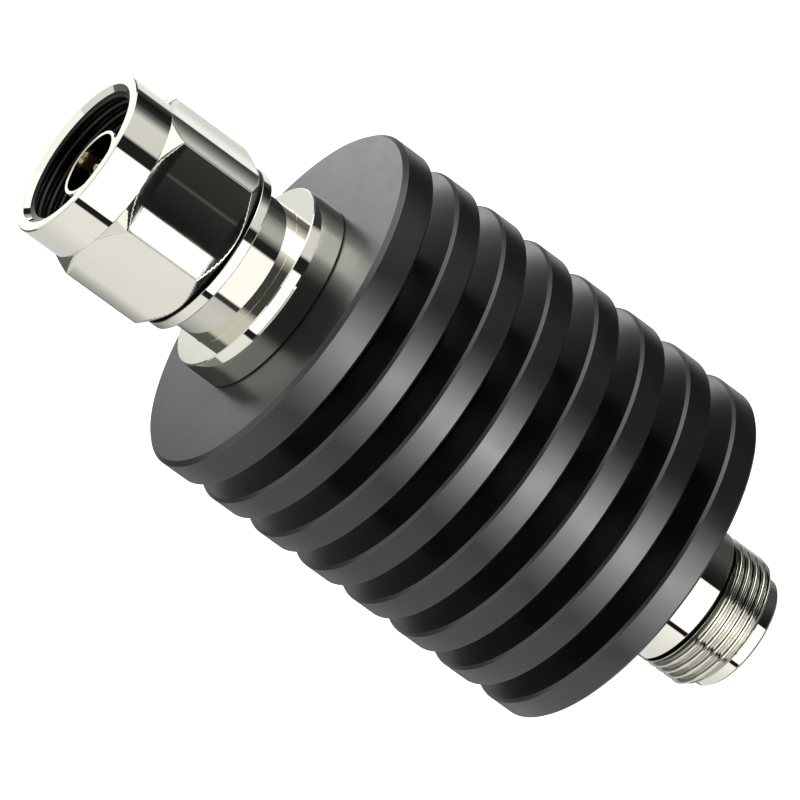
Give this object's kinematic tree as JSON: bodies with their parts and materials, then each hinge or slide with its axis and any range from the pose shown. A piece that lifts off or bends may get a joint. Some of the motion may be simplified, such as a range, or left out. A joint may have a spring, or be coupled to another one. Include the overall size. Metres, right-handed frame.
{
  "type": "coaxial attenuator",
  "caption": "Fixed coaxial RF attenuator: turned finned heat sink between a plug with a free-turning hexagon coupling nut and a threaded jack, with the resistor chip clamped inside.",
  "frame": {"origin": "centre of the jack's end face, the bottom of the part as it stands on the jack", "axes": "+Z along the common axis from the jack to the plug; +X and +Y across it, with two corners of the nut's hexagon on X at rest"},
  "size_m": [0.041, 0.041, 0.0899],
  "materials": {
    "black_anodised_aluminium": "satin black anodised",
    "nickel_plate": "bright nickel plate on turned brass",
    "gold_plate": "gold plate on turned brass",
    "spring_steel": "plain spring steel",
    "silicone_rubber": "matte moulded",
    "ptfe": "turned, waxy",
    "alumina": "fired, matte"
  },
  "bodies": {
    "body": {"heat_sink": "black_anodised_aluminium", "plug_body": "nickel_plate", "nut_snap_ring": "spring_steel", "plug_gasket": "silicone_rubber", "plug_pin": "gold_plate", "plug_bead": "ptfe", "plug_bushing": "nickel_plate", "input_conductor": "gold_plate", "input_tab": "gold_plate", "carrier_base": "nickel_plate", "carrier_cover": "nickel_plate", "attenuator_chip": "alumina", "carrier_screws": "spring_steel", "output_tab": "gold_plate", "output_conductor": "gold_plate", "jack_bushing": "nickel_plate", "jack_bead": "ptfe", "jack_socket": "gold_plate", "jack_body": "nickel_plate"},
    "nut": {"coupling_nut": "nickel_plate"}
  },
  "joints": [
    {"name": "nut_spin", "type": "hinge", "parent": "body", "child": "nut", "pos_m": [0, 0, 0.075], "axis": [0, 0, 1], "continuous": true}
  ]
}
